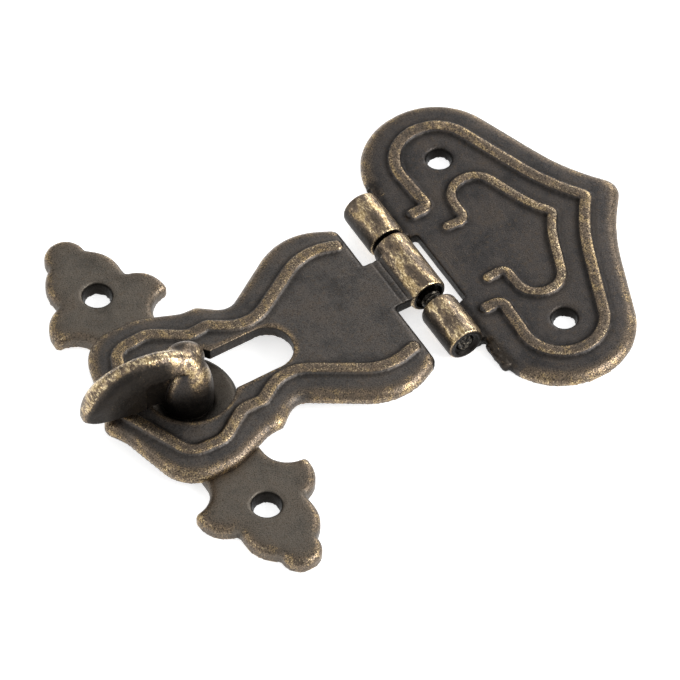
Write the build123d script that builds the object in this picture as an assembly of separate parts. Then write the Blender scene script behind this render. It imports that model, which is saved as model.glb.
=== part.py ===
"""Box hasp latch in six pieces, in millimetres.

A hinge leaf carries two outer barrels, and a waisted strap carries the middle one. The strap lies on a
keeper plate, and a turn knob, riveted through the keeper, stands up through the strap's keyhole.
Plan sizes are measured from the hinge pin (x) and the centre line (y), and heights from the face
that the latch is screwed to (z). The finished pieces are moved so that the origin is the middle of
the leaf's screw line, on that face.
"""
from build123d import *
import math
import os

# Plates
LEAF_THICKNESS = 1.9
KEEPER_THICKNESS = 2.3
STRAP_THICKNESS = 2.0
EDGE_ROUND = 1.1  # rounded upper rim of the leaf and strap
KEEPER_EDGE_ROUND = 0.85
HOLE_RIM_ROUND = 0.25

FILLET_ROOM = 0.98  # share of a line that the roundings at its two ends may take
CUT_MARGIN = 1.0  # how far a cutting shape runs past the face that it cuts

# Hinge
BARREL_RADIUS = 2.75
BARREL_RIM_ROUND = 0.6
BARREL_LIFT = 0.05  # gap from the barrels to the mounting face
HINGE_HALF_LENGTH = 14.3
OUTER_BARREL_LENGTH = 7.8
MIDDLE_BARREL_PLAY = 2.4  # room that the strap has to slide along the pin
MIDDLE_BARREL_GAP = 0.4  # to the upper barrel, which the strap is pushed up against
TONGUE_HIGH_INSET = 2.2  # from the middle barrel's upper end to the tongue's edge
TONGUE_LOW_INSET = 0.1
PIN_RADIUS = 1.3
PIN_CLEARANCE = 0.05
PIN_END_DISH_RADIUS = 1.85
PIN_END_DISH_DEPTH = 0.5
PIN_END_STAND = 0.15  # how far the pin stands up in its dish
PIN_END_ROUND = 0.35

# Leaf
LEAF_EDGE_X = 3.3
LEAF_NOTCH_X = 4.7
LEAF_HALF_WIDTH = 26.8
LEAF_LOBE_RADIUS = 10.5
LEAF_SHOULDER_X = 21.3
LEAF_FLANK_X = 28.9
LEAF_FLANK_HALF_WIDTH = 6.8
LEAF_FLANK_RADIUS = 31.0
LEAF_NOSE_X = 34.2
LEAF_NOSE_RADIUS = 2.55
LEAF_SCREW_X = 14.5
LEAF_SCREW_HALF_SPACING = 16.5
LEAF_SCREW_HOLE_RADIUS = 1.9

# Raised beads with flat tops
BEAD_HALF_BREADTH = 0.85
BEAD_CORNER = 1.0
BEAD_CORNER_ROOM = 0.05  # least radius inside a bend of a bead
BEAD_HEIGHT = 0.5
BEAD_TOP_ROUND = 0.25
INNER_BEAD_HALF_BREADTH = 0.7
OUTER_BEAD_INSET = 4.5
OUTER_BEAD_FOOT = (5.8, 9.7)
OUTER_BEAD_HEEL = (8.5, 9.7)
INNER_BEAD_INSET = 8.85
INNER_BEAD_HALF_WIDTH = 11.45
INNER_BEAD_LOBE_X = 12.1
INNER_BEAD_LOBE_RADIUS = 3.3
INNER_BEAD_FLANK_RADIUS = 18.0
INNER_BEAD_FOOT = (9.0, 5.3)
INNER_BEAD_HEEL = (11.8, 5.15)

# Strap, as corners of its half outline: x, half width, corner radius
STRAP_EDGE_X = -5.3
STRAP_CORNER = (STRAP_EDGE_X, 13.4, 1.3)
STRAP_HINGE_LOBE = (-12.4, 17.0, 9.5)
STRAP_WAIST = (-25.2, 8.9, 2.6)
STRAP_BUMP = (-28.8, 11.8, 1.7)
STRAP_BUMP_FOOT = (-31.1, 11.9, 2.2)
STRAP_LOBE = (-37.2, 14.3, 7.5)
STRAP_LOBE_END = (-45.6, 14.3, 5.6)
STRAP_TIP_FLANK = (-48.4, 3.1, 4.0)
STRAP_TIP = (-50.1, 0.0, 1.3)

STRAP_BEAD_END = (-7.1, 10.3, 0.0)
STRAP_BEAD_HINGE_LOBE = (-12.0, 11.7, 8.0)
STRAP_BEAD_WAIST = (-24.3, 4.2, 6.0)
STRAP_BEAD_KINK = (-29.5, 7.5, BEAD_CORNER)
STRAP_BEAD_KINK_FOOT = (-32.6, 7.3, 3.0)
STRAP_BEAD_LOBE = (-37.4, 10.5, 4.0)
STRAP_BEAD_LOBE_END = (-42.4, 10.1, 2.6)
STRAP_BEAD_TIP = (-46.7, 0.0, BEAD_CORNER)

STRAP_CENTRE_Y = -1.55  # the strap lies to one side of the leaf's centre line

KEYHOLE_X = -36.5
KEYHOLE_RADIUS = 6.3
SLOT_HALF_WIDTH = 3.65
SLOT_END_X = -20.7

# The keeper lies a little askew in the keyhole, and the knob stands off its middle
KEEPER_OFFSET_X = 1.55  # from the keyhole's middle towards the tip
KEEPER_TURN = 2.2  # degrees
KNOB_OFFSET_X = 0.9  # from the keyhole's middle towards the tip
KNOB_OFFSET_Y = 0.55  # from the strap's centre line
KEEPER_X = KEYHOLE_X - KEEPER_OFFSET_X
KEEPER_Y = STRAP_CENTRE_Y
KNOB_X = KEYHOLE_X - KNOB_OFFSET_X
KNOB_Y = STRAP_CENTRE_Y - KNOB_OFFSET_Y

# Keeper, as corners of its half end: half width, distance along y, corner radius
KEEPER_DISC_RADIUS = 7.9
KEEPER_NECK_HALF_WIDTH = 4.7
KEEPER_NECK = (KEEPER_NECK_HALF_WIDTH, 17.0, 4.5)
KEEPER_SHOULDER = (9.1, 17.4, 0.9)
KEEPER_SHOULDER_END = (8.8, 21.9, 4.8)
KEEPER_FIRST_NOTCH = (5.45, 22.8, 0.3)
KEEPER_MIDDLE_LOBE = (5.6, 27.0, 5.2)
KEEPER_SECOND_NOTCH = (2.95, 29.4, 0.3)
KEEPER_TIP_LOBE = (3.05, 32.7, 2.95)
KEEPER_SCREW_HALF_SPACING = 21.45
KEEPER_SCREW_HOLE_RADIUS = 2.15

# Turn knob: a hub, round-topped behind and tapered in front, and a wing shaped like half an ellipse
HUB_RADIUS = 3.7
HUB_HEIGHT = 10.6
HUB_TAPER_FOOT = 2.2  # from the keeper to where the front starts to taper
HUB_TAPER_HEIGHT = 9.9
HUB_TAPER_TOP_RADIUS = 0.8
HUB_RIM_ROUND = 1.5
WING_CLEARANCE = 0.5  # between the strap's beads and the wing
WING_CENTRE = 5.75
WING_HALF_LENGTH = 9.75
WING_HEIGHT = 8.8
WING_HALF_THICKNESS = 2.2
WING_BELLY = 0.4
WING_SIDE_SHARE = 0.45  # share of its height up to which the wing's sides stand upright
WING_SECTIONS = 9  # cuts that the wing is lofted through
WING_LAST_SHARE = 0.99  # place of the last cut, as a share of the wing's half length
WEB_HALF_THICKNESS = 1.1
WEB_OUTER_END = 6.7
WEB_HEIGHT = 5.2
WEB_CORNER = 1.0
WEB_CLEARANCE = 0.3  # between the strap's face and the web
WING_TURN = 171.0  # degrees from +X, so that the wing reaches past the strap's tip

SHANK_RADIUS = 1.9
SHANK_CLEARANCE = 0.05
RIVET_HEAD_RADIUS = 2.8
RIVET_HEAD_THICKNESS = 0.55
WASHER_RADIUS = 3.35
WASHER_THICKNESS = 0.5
RIVET_POCKET_CLEARANCE = 0.25  # round the washer
RIVET_POCKET_DEPTH = 1.2

PIN_Z = BARREL_RADIUS + BARREL_LIFT
STRAP_Z = KEEPER_THICKNESS
STRAP_TOP = STRAP_Z + STRAP_THICKNESS
NOTCH_HALF_WIDTH = HINGE_HALF_LENGTH - OUTER_BARREL_LENGTH
MIDDLE_BARREL_LENGTH = 2 * NOTCH_HALF_WIDTH - MIDDLE_BARREL_PLAY
MIDDLE_BARREL_CENTRE_Y = NOTCH_HALF_WIDTH - MIDDLE_BARREL_GAP - MIDDLE_BARREL_LENGTH / 2


def inset(corners, distance):
    """Corners of a half outline moved inwards; those too tight for the move keep a bead's corner."""
    points = [(c[0], c[1]) for c in corners]
    points.append((points[-2][0], -points[-2][1]))
    moved = []
    for i in range(1, len(corners)):
        x, y, radius = corners[i]
        normals = []
        turns = []
        for (x0, y0), (x1, y1) in ((points[i - 1], points[i]), (points[i], points[i + 1])):
            length = math.hypot(x1 - x0, y1 - y0)
            turns.append(((x1 - x0) / length, (y1 - y0) / length))
            normals.append(((y1 - y0) / length, -(x1 - x0) / length))
        (ax, ay), (bx, by) = normals
        share = distance / (1 + ax * bx + ay * by)
        convex = turns[0][0] * turns[1][1] - turns[0][1] * turns[1][0] < 0
        new_radius = max(radius - distance, BEAD_CORNER) if convex else radius + distance
        moved.append((x + share * (ax + bx), y + share * (ay + by), new_radius))
    return moved


def mirrored(corners):
    """The corners, then the same corners across the centre line in the opposite order."""
    return corners + [(x, -y, r) for x, y, r in reversed(corners) if y > 0]


def rounded_line(corners, close=False, least_radius=0.0):
    """Line through corners given as x, y and radius.

    Where a line is too short for the roundings at its two ends, both radii give way, but the shorter
    rounding keeps the least radius.
    """
    count = len(corners)
    points = [Vector(x, y) for x, y, r in corners]
    radii = [r for x, y, r in corners]
    reach = [0.0] * count
    least_reach = [0.0] * count
    for i in range(count):
        if close or 0 < i < count - 1:
            before = points[i] - points[i - 1]
            after = points[(i + 1) % count] - points[i]
            turn = math.radians(before.get_angle(after))
            reach[i] = radii[i] * math.tan(turn / 2)
            least_reach[i] = min(radii[i], least_radius) * math.tan(turn / 2)
    share = [1.0] * count
    for i in range(count if close else count - 1):
        following = (i + 1) % count
        room = FILLET_ROOM * (points[following] - points[i]).length
        wanted = reach[i] + reach[following]
        if wanted > room:
            short, long = sorted((i, following), key=lambda k: reach[k])
            kept = max(reach[short] * room / wanted, least_reach[short])
            if reach[short] > 0:
                share[short] = min(share[short], kept / reach[short])
            share[long] = min(share[long], (room - kept) / reach[long])
    limited = [radius * part for radius, part in zip(radii, share)]
    if not close:
        limited = limited[1:-1]
    return FilletPolyline(*points, radius=limited, close=close)


def plate(corners, bottom, thickness, edge_round):
    """Flat casting inside a closed run of corners, with its upper rim rounded."""
    outline = make_face(rounded_line(corners, close=True))
    solid = extrude(Pos(0, 0, bottom) * outline, thickness)
    rim = solid.edges().group_by(Axis.Z)[-1]
    return fillet(rim, edge_round)


def bead(corners, half_width, top):
    """Flat-topped ridge with round ends along a run of corners, standing proud of the plate's top."""
    path = rounded_line(corners, least_radius=half_width + BEAD_CORNER_ROOM)
    strip = trace(path, 2 * half_width)
    ends = [Pos(*(path @ end)) * Circle(half_width) for end in (0, 1)]
    ridge = extrude(Pos(0, 0, top - BEAD_HEIGHT) * (strip + ends), 2 * BEAD_HEIGHT)
    return fillet(ridge.edges().group_by(Axis.Z)[-1], BEAD_TOP_ROUND)


def screw_hole(x, y, radius, top):
    """Through hole with a softened upper rim."""
    hole = Pos(x, y, top / 2) * Cylinder(radius, top + 2 * CUT_MARGIN)
    mouth = Pos(x, y, top - HOLE_RIM_ROUND / 2)
    return hole + mouth * Cone(radius, radius + HOLE_RIM_ROUND, HOLE_RIM_ROUND)


def barrel(y_low, y_high):
    """Solid hinge barrel along the pin, with rounded rims."""
    middle = (y_low + y_high) / 2
    body = Pos(0, middle, PIN_Z) * Rot(90, 0, 0) * Cylinder(BARREL_RADIUS, y_high - y_low)
    return fillet(body.edges().filter_by(GeomType.CIRCLE), BARREL_RIM_ROUND)


def pin_bore(radius):
    return Pos(0, 0, PIN_Z) * Rot(90, 0, 0) * Cylinder(radius, 4 * HINGE_HALF_LENGTH)


def leaf_corners():
    return [
        (LEAF_EDGE_X, LEAF_HALF_WIDTH, LEAF_LOBE_RADIUS),
        (LEAF_SHOULDER_X, LEAF_HALF_WIDTH, LEAF_LOBE_RADIUS),
        (LEAF_FLANK_X, LEAF_FLANK_HALF_WIDTH, LEAF_FLANK_RADIUS),
        (LEAF_NOSE_X, 0, LEAF_NOSE_RADIUS),
    ]


def make_leaf():
    """Shield-shaped hinge leaf with two beads, two screw holes and the two outer barrels."""
    corners = leaf_corners()
    leaf = plate(mirrored(corners), 0, LEAF_THICKNESS, EDGE_ROUND)

    edge = [(LEAF_EDGE_X, -LEAF_HALF_WIDTH, 0)] + corners
    outer = inset(edge, OUTER_BEAD_INSET)
    outer_path = [(*OUTER_BEAD_FOOT, 0), (*OUTER_BEAD_HEEL, BEAD_CORNER)] + outer
    leaf += bead(mirrored(outer_path), BEAD_HALF_BREADTH, LEAF_THICKNESS)

    shoulder, flank, nose = [(x, y) for x, y, r in inset(edge, INNER_BEAD_INSET)[1:]]
    along = (shoulder[1] - INNER_BEAD_HALF_WIDTH) / (shoulder[1] - flank[1])
    lobe_end_x = shoulder[0] + along * (flank[0] - shoulder[0])
    inner_path = [
        (*INNER_BEAD_FOOT, 0),
        (*INNER_BEAD_HEEL, BEAD_CORNER),
        (INNER_BEAD_LOBE_X, INNER_BEAD_HALF_WIDTH, INNER_BEAD_LOBE_RADIUS),
        (lobe_end_x, INNER_BEAD_HALF_WIDTH, INNER_BEAD_LOBE_RADIUS),
        (*flank, INNER_BEAD_FLANK_RADIUS),
        (*nose, BEAD_CORNER),
    ]
    leaf += bead(mirrored(inner_path), INNER_BEAD_HALF_BREADTH, LEAF_THICKNESS)

    neck_length = LEAF_EDGE_X + EDGE_ROUND
    middle_y = HINGE_HALF_LENGTH - OUTER_BARREL_LENGTH / 2
    for side in (1, -1):
        neck = Box(neck_length, OUTER_BARREL_LENGTH - 2 * BARREL_RIM_ROUND, LEAF_THICKNESS)
        leaf += Pos(neck_length / 2, side * middle_y, LEAF_THICKNESS / 2) * neck
        low, high = sorted((side * HINGE_HALF_LENGTH, side * NOTCH_HALF_WIDTH))
        leaf += barrel(low, high)
        dish_y = side * (HINGE_HALF_LENGTH - PIN_END_DISH_DEPTH / 2)
        dish = Rot(90, 0, 0) * Cylinder(PIN_END_DISH_RADIUS, PIN_END_DISH_DEPTH)
        leaf -= Pos(0, dish_y, PIN_Z) * dish
        screw_y = side * LEAF_SCREW_HALF_SPACING
        leaf -= screw_hole(LEAF_SCREW_X, screw_y, LEAF_SCREW_HOLE_RADIUS, LEAF_THICKNESS)
    leaf -= pin_bore(PIN_RADIUS)
    notch_depth = LEAF_NOTCH_X - LEAF_EDGE_X
    notch = Box(2 * notch_depth, 2 * NOTCH_HALF_WIDTH, 3 * LEAF_THICKNESS)
    leaf -= Pos(LEAF_NOTCH_X - notch_depth, 0, 0) * notch
    return leaf


def make_strap():
    """Waisted strap with a bead round its face, the keyhole, and the middle barrel on a tongue."""
    half = [
        STRAP_CORNER, STRAP_HINGE_LOBE, STRAP_WAIST, STRAP_BUMP, STRAP_BUMP_FOOT,
        STRAP_LOBE, STRAP_LOBE_END, STRAP_TIP_FLANK, STRAP_TIP,
    ]
    strap = plate(mirrored(half), STRAP_Z, STRAP_THICKNESS, EDGE_ROUND)
    path = [
        STRAP_BEAD_END, STRAP_BEAD_HINGE_LOBE, STRAP_BEAD_WAIST, STRAP_BEAD_KINK,
        STRAP_BEAD_KINK_FOOT, STRAP_BEAD_LOBE, STRAP_BEAD_LOBE_END, STRAP_BEAD_TIP,
    ]
    strap += bead(mirrored(path), BEAD_HALF_BREADTH, STRAP_TOP)
    slot_centre = SLOT_END_X - SLOT_HALF_WIDTH
    slot = Pos(KEYHOLE_X, 0) * Circle(KEYHOLE_RADIUS) + Pos(slot_centre, 0) * Circle(SLOT_HALF_WIDTH)
    slot += Pos((KEYHOLE_X + slot_centre) / 2, 0) * Rectangle(slot_centre - KEYHOLE_X, 2 * SLOT_HALF_WIDTH)
    strap -= extrude(Pos(0, 0, STRAP_Z - CUT_MARGIN) * slot, STRAP_THICKNESS + 2 * CUT_MARGIN)
    strap = Pos(0, STRAP_CENTRE_Y, 0) * strap

    tongue_length = -STRAP_EDGE_X + EDGE_ROUND
    tongue = Box(tongue_length, MIDDLE_BARREL_LENGTH - TONGUE_HIGH_INSET - TONGUE_LOW_INSET, STRAP_THICKNESS)
    tongue_y = MIDDLE_BARREL_CENTRE_Y + (TONGUE_LOW_INSET - TONGUE_HIGH_INSET) / 2
    strap += Pos(-tongue_length / 2, tongue_y, STRAP_Z + STRAP_THICKNESS / 2) * tongue
    half_barrel = MIDDLE_BARREL_LENGTH / 2
    strap += barrel(MIDDLE_BARREL_CENTRE_Y - half_barrel, MIDDLE_BARREL_CENTRE_Y + half_barrel)
    return strap - pin_bore(PIN_RADIUS + PIN_CLEARANCE)


def make_pin():
    """Hinge pin held in the outer barrels, with its ends softened inside their dishes."""
    pin = Cylinder(PIN_RADIUS, 2 * (HINGE_HALF_LENGTH - PIN_END_DISH_DEPTH + PIN_END_STAND))
    pin = fillet(pin.edges().filter_by(GeomType.CIRCLE), PIN_END_ROUND)
    return Pos(0, 0, PIN_Z) * Rot(90, 0, 0) * pin


def make_keeper():
    """Keeper plate: a round middle under the keyhole and a leafy end with a screw hole on each side."""
    half = [
        KEEPER_NECK, KEEPER_SHOULDER, KEEPER_SHOULDER_END, KEEPER_FIRST_NOTCH,
        KEEPER_MIDDLE_LOBE, KEEPER_SECOND_NOTCH, KEEPER_TIP_LOBE,
    ]
    left = [(-u, v, r) for u, v, r in half]
    upper = left + half[::-1]
    lower = [(u, -v, r) for u, v, r in reversed(upper)]
    ends = make_face(rounded_line(upper + lower, close=True))
    keeper = extrude(ends + Circle(KEEPER_DISC_RADIUS), KEEPER_THICKNESS)
    keeper = fillet(keeper.edges().group_by(Axis.Z)[-1], KEEPER_EDGE_ROUND)
    for side in (1, -1):
        screw_y = side * KEEPER_SCREW_HALF_SPACING
        keeper -= screw_hole(0, screw_y, KEEPER_SCREW_HOLE_RADIUS, KEEPER_THICKNESS)
    keeper = Pos(KEEPER_X, KEEPER_Y, 0) * Rot(0, 0, KEEPER_TURN) * keeper
    bore = Cylinder(SHANK_RADIUS + SHANK_CLEARANCE, 4 * KEEPER_THICKNESS)
    pocket = Cylinder(WASHER_RADIUS + RIVET_POCKET_CLEARANCE, 2 * RIVET_POCKET_DEPTH)
    return keeper - Pos(KNOB_X, KNOB_Y, 0) * (bore + pocket)


def make_washer():
    """Thin washer between the keeper and the knob's riveted end."""
    washer = Cylinder(WASHER_RADIUS, WASHER_THICKNESS)
    washer -= Cylinder(SHANK_RADIUS + SHANK_CLEARANCE, 2 * WASHER_THICKNESS)
    return Pos(KNOB_X, KNOB_Y, RIVET_POCKET_DEPTH - WASHER_THICKNESS / 2) * washer


def wing_section(share, low):
    """Round-topped cut through the wing, at a share of its half length from the middle of its ellipse."""
    height = WING_HEIGHT * math.sqrt(1 - share**2)
    half = WING_HALF_THICKNESS * math.sqrt(1 - share**6)
    belly = WING_BELLY * half / WING_HALF_THICKNESS
    edge = low + belly
    shoulder = edge + WING_SIDE_SHARE * (height - belly)
    distance = WING_CENTRE + share * WING_HALF_LENGTH
    plane = Plane((distance, 0, 0), x_dir=(0, 1, 0), z_dir=(1, 0, 0))
    return plane * make_face([
        EllipticalCenterArc((0, shoulder), half, low + height - shoulder, 0, arc_size=180),
        Line((-half, shoulder), (-half, edge)),
        EllipticalCenterArc((0, edge), half, belly, 180, arc_size=180),
        Line((half, edge), (half, shoulder)),
    ])


def make_knob():
    """Turn knob cast with its shank, whose end is riveted over under the keeper."""
    foot = KEEPER_THICKNESS
    dome = foot + HUB_HEIGHT - HUB_RADIUS
    rear_profile = make_face([
        Line((0, dome + HUB_RADIUS), (0, foot)),
        Line((0, foot), (HUB_RADIUS, foot)),
        Line((HUB_RADIUS, foot), (HUB_RADIUS, dome)),
        CenterArc((0, dome), HUB_RADIUS, 0, 90),
    ])
    rear = revolve(Plane.XZ * rear_profile, Axis.Z)
    reach = 2 * (HUB_HEIGHT + HUB_RADIUS)
    rear &= Pos(0, -reach / 2, foot) * Box(reach, reach, reach)
    rim = rear.edges().filter_by_position(Axis.Y, 0, 0).filter_by(GeomType.CIRCLE)
    rear = fillet(rim, HUB_RIM_ROUND)

    taper_foot = (HUB_RADIUS, foot + HUB_TAPER_FOOT)
    taper_top = (HUB_TAPER_TOP_RADIUS, foot + HUB_TAPER_HEIGHT)
    front_profile = make_face([
        Line((0, taper_top[1]), (0, foot)),
        Line((0, foot), (HUB_RADIUS, foot)),
        Line((HUB_RADIUS, foot), taper_foot),
        TangentArc(taper_foot, taper_top, tangent=(0, 1)),
        Line(taper_top, (0, taper_top[1])),
    ])
    hub = rear + revolve(Plane.XZ * front_profile, Axis.Z)

    low = STRAP_TOP + BEAD_HEIGHT + WING_CLEARANCE
    first = math.asin(-WING_CENTRE / WING_HALF_LENGTH)
    step = (math.asin(WING_LAST_SHARE) - first) / (WING_SECTIONS - 1)
    wing = loft([wing_section(math.sin(first + i * step), low) for i in range(WING_SECTIONS)])
    for side_sign in (1, -1):
        recess = Box(2 * WEB_OUTER_END, 2 * WING_HALF_THICKNESS, 2 * WEB_HEIGHT)
        recess = fillet(recess.edges().filter_by(Axis.Y), WEB_CORNER)
        offset_y = side_sign * (WEB_HALF_THICKNESS + WING_HALF_THICKNESS)
        wing -= Pos(0, offset_y, low) * recess
    web_low = STRAP_TOP + WEB_CLEARANCE
    web = Box(WEB_OUTER_END, 2 * WEB_HALF_THICKNESS, 2 * (low - web_low))
    knob = hub + wing + Pos(WEB_OUTER_END / 2, 0, low) * web

    shank_end = RIVET_POCKET_DEPTH - WASHER_THICKNESS - SHANK_CLEARANCE
    shank_length = foot - shank_end
    knob += Pos(0, 0, foot - shank_length / 2) * Cylinder(SHANK_RADIUS, shank_length)
    head = Cylinder(RIVET_HEAD_RADIUS, RIVET_HEAD_THICKNESS)
    head = fillet(head.edges().group_by(Axis.Z)[0], RIVET_HEAD_THICKNESS / 2)
    knob += Pos(0, 0, shank_end - RIVET_HEAD_THICKNESS / 2) * head
    return Pos(KNOB_X, KNOB_Y, 0) * Rot(0, 0, WING_TURN) * knob


def main():
    os.makedirs("parts", exist_ok=True)
    pieces = {
        "hinge_leaf": make_leaf(),
        "hasp_strap": make_strap(),
        "hinge_pin": make_pin(),
        "keeper_plate": make_keeper(),
        "rivet_washer": make_washer(),
        "turn_knob": make_knob(),
    }
    to_screw_line = Pos(-LEAF_SCREW_X, 0, 0)
    for name, piece in pieces.items():
        export_step(to_screw_line * piece, f"parts/{name}.step")
        print(name, "volume", round(piece.volume, 1))


main()
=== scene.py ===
# %% [markdown]
# # Box hasp latch
#
# This notebook dresses a small cast hasp latch: a shield-shaped hinge leaf, a waisted strap, a leafy
# keeper plate under it, and a turn knob that stands up through the strap's keyhole. The solid model gives
# every piece its place and size. Here each casting gets the soft, slightly lumpy skin of a real casting,
# and the dark finish that hands and polishing have worn back to bronze on everything that stands proud.

# %% Load the solid model
import math

import bpy
import numpy as np
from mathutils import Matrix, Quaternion, Vector, kdtree


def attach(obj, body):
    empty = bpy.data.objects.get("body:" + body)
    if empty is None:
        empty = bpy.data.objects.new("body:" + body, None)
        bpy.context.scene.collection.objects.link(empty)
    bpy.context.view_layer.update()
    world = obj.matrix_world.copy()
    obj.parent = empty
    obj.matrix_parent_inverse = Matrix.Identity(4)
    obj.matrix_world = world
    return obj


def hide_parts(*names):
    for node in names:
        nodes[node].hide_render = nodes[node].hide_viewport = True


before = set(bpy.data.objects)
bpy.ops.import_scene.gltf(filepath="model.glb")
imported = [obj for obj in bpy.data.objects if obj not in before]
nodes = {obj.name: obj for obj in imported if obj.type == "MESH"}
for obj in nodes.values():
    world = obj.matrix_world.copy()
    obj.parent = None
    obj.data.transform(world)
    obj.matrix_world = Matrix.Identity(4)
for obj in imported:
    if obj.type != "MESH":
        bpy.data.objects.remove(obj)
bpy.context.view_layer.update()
print("pieces:", sorted(nodes))

MM = 0.001  # the scene is in metres, and the sizes below are in millimetres

# %% [markdown]
# ## Camera
#
# The photograph looks down at the latch from in front of the strap's tip. A camera is placed by a bearing
# and a height angle round a target on the object. Its lens then follows from the distance and from how
# wide the view has to be there, so distance and framing can be set apart.

# %% Place the camera
IMAGE_PIXELS = 680
PIXELS_PER_MM = 7.27  # at the target
AZIMUTH = math.radians(-31.43)
ELEVATION = math.radians(52.36)
ROLL = math.radians(0.28)
CAMERA_DISTANCE = 1000 * MM
CAMERA_TARGET = Vector((-28.66, -4.03, 2.0)) * MM
NEAREST_SEEN = 10 * MM
SENSOR_WIDTH = 36.0


def direction(azimuth, elevation):
    """Unit vector from the target towards a place at this bearing and height angle, in radians."""
    flat = math.cos(elevation)
    return Vector((math.sin(azimuth) * flat, -math.cos(azimuth) * flat, math.sin(elevation)))


camera_data = bpy.data.cameras.new("camera")
camera_data.sensor_width = SENSOR_WIDTH
camera_data.lens = SENSOR_WIDTH * CAMERA_DISTANCE / (IMAGE_PIXELS / PIXELS_PER_MM * MM)
camera_data.clip_start = NEAREST_SEEN
camera = bpy.data.objects.new("camera", camera_data)
bpy.context.scene.collection.objects.link(camera)
towards_camera = direction(AZIMUTH, ELEVATION)
camera.location = CAMERA_TARGET + CAMERA_DISTANCE * towards_camera
aim = towards_camera.to_track_quat("Z", "Y") @ Quaternion((0, 0, 1), ROLL)
camera.rotation_euler = aim.to_euler()
bpy.context.scene.camera = camera
print("lens", round(camera_data.lens, 1), "mm")

# %% [markdown]
# ## Copies to work on
#
# The solids come as loose triangles, good to show but not to model on. Five of the six are copied, and
# points that share a place are merged, which makes each copy one closed skin. The solids themselves stay
# as they are. An operator works on whatever is selected, so each step first selects exactly the piece
# that it is meant for.

# %% Copy the solids
VOXEL = {
    "hinge_leaf": 0.23 * MM,
    "hasp_strap": 0.21 * MM,
    "keeper_plate": 0.21 * MM,
    "turn_knob": 0.16 * MM,
    "hinge_pin": 0.13 * MM,
}
SAME_PLACE = 0.001 * MM


def select_only(*pieces):
    """Selects these pieces and nothing else, and makes the first one active."""
    bpy.ops.object.select_all(action="DESELECT")
    for piece in pieces:
        piece.select_set(True)
    bpy.context.view_layer.objects.active = pieces[0]


def merged_copy(node_name, name):
    """Copy of a solid's mesh as a closed skin of its own."""
    piece = bpy.data.objects.new(name, nodes[node_name].data.copy())
    bpy.context.scene.collection.objects.link(piece)
    piece.data.materials.clear()
    select_only(piece)
    bpy.ops.object.mode_set(mode="EDIT")
    bpy.ops.mesh.select_all(action="SELECT")
    bpy.ops.mesh.remove_doubles(threshold=SAME_PLACE)
    bpy.ops.object.mode_set(mode="OBJECT")
    return piece


castings = {node_name: merged_copy(node_name, node_name + "_casting") for node_name in VOXEL}
print("copied:", {piece.name: len(piece.data.vertices) for piece in castings.values()})

# %% [markdown]
# ## Hollow barrel
#
# The strap's barrel is hollow at its lower end. Its end face could be inset and pushed in by hand, but
# that face is all long thin triangles. A cylinder and a Boolean modifier cut the hollow whatever the
# faces are like. A modifier is added, set and applied in one go, which leaves a plain mesh to look at
# after each step.

# %% Cut the hollow
HINGE_X = -14.5
HINGE_Z = 2.8
BARREL_LOW_Y = -4.5
HOLLOW_RADIUS = 2.1
HOLLOW_DEPTH = 1.0
ROUND_SIDES = 48
ALONG_HINGE = (math.pi / 2, 0, 0)  # turns a new cylinder or ring to lie along the hinge


def at_mm(x, y, z):
    """A place in millimetres, as an operator's location."""
    return (x * MM, y * MM, z * MM)


def apply_modifier(piece, kind, **settings):
    """Adds a modifier of this kind, sets it, and applies it."""
    modifier = piece.modifiers.new(kind.lower(), kind)
    for name, value in settings.items():
        setattr(modifier, name, value)
    select_only(piece)
    bpy.ops.object.modifier_apply(modifier=modifier.name)


bpy.ops.mesh.primitive_cylinder_add(
    vertices=ROUND_SIDES,
    radius=HOLLOW_RADIUS * MM,
    depth=2 * HOLLOW_DEPTH * MM,
    location=at_mm(HINGE_X, BARREL_LOW_Y, HINGE_Z),
    rotation=ALONG_HINGE,
)
cutter = bpy.context.object
strap = castings["hasp_strap"]
apply_modifier(strap, "BOOLEAN", operation="DIFFERENCE", object=cutter, solver="EXACT")
bpy.data.objects.remove(cutter)
print("strap with its hollow:", len(strap.data.vertices), "points")

# %% [markdown]
# ## Ringed pin
#
# Between the barrels the pin shows the rings that its rolling left. They could be bump in a material, but
# they show in the pin's outline, so they are real: thin rings joined to the pin's mesh. They only overlap
# it here. The net of a later step makes one skin of what overlaps.

# %% Ring the pin
PIN_RADIUS = 1.3
RING_PLACES = (-4.9, -5.5, -6.1)
RING_THICKNESS = 0.22
RING_ROUND_SIDES = 12


def join_to(piece, parts):
    """Makes parts that overlap a piece belong to its mesh."""
    select_only(piece, *parts)
    bpy.ops.object.join()


rings = []
for ring_y in RING_PLACES:
    bpy.ops.mesh.primitive_torus_add(
        location=at_mm(HINGE_X, ring_y, HINGE_Z),
        rotation=ALONG_HINGE,
        major_radius=PIN_RADIUS * MM,
        minor_radius=RING_THICKNESS * MM,
        major_segments=ROUND_SIDES,
        minor_segments=RING_ROUND_SIDES,
    )
    rings.append(bpy.context.object)
join_to(castings["hinge_pin"], rings)
print("joined", len(rings), "rings")

# %% [markdown]
# ## Seam of the mould
#
# Where metal squeezed out between the halves of the mould, the leaf keeps a rough seam on its edge below
# the lower barrel, and a few crumbs at the corner by the upper one. A rounded bar and small balls half
# sunk into the edge give the metal that a later step then tears.

# %% Leave the seam and the crumbs
SEAM_X = -11.0
SEAM_Z = 1.0
SEAM_RADIUS = 0.8
SEAM_ROUND = 0.5
SEAM_ENDS = (-14.6, -19.6)
SEAM_LUMPS = ((-11.3, -16.1, 1.2, 0.5), (-11.2, -17.8, 1.4, 0.5), (-11.1, -19.0, 1.3, 0.45))
CORNER_CRUMBS = ((-11.3, 16.1, 1.3, 0.4), (-10.6, 16.9, 1.75, 0.3), (-11.2, 17.2, 1.5, 0.25))

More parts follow.
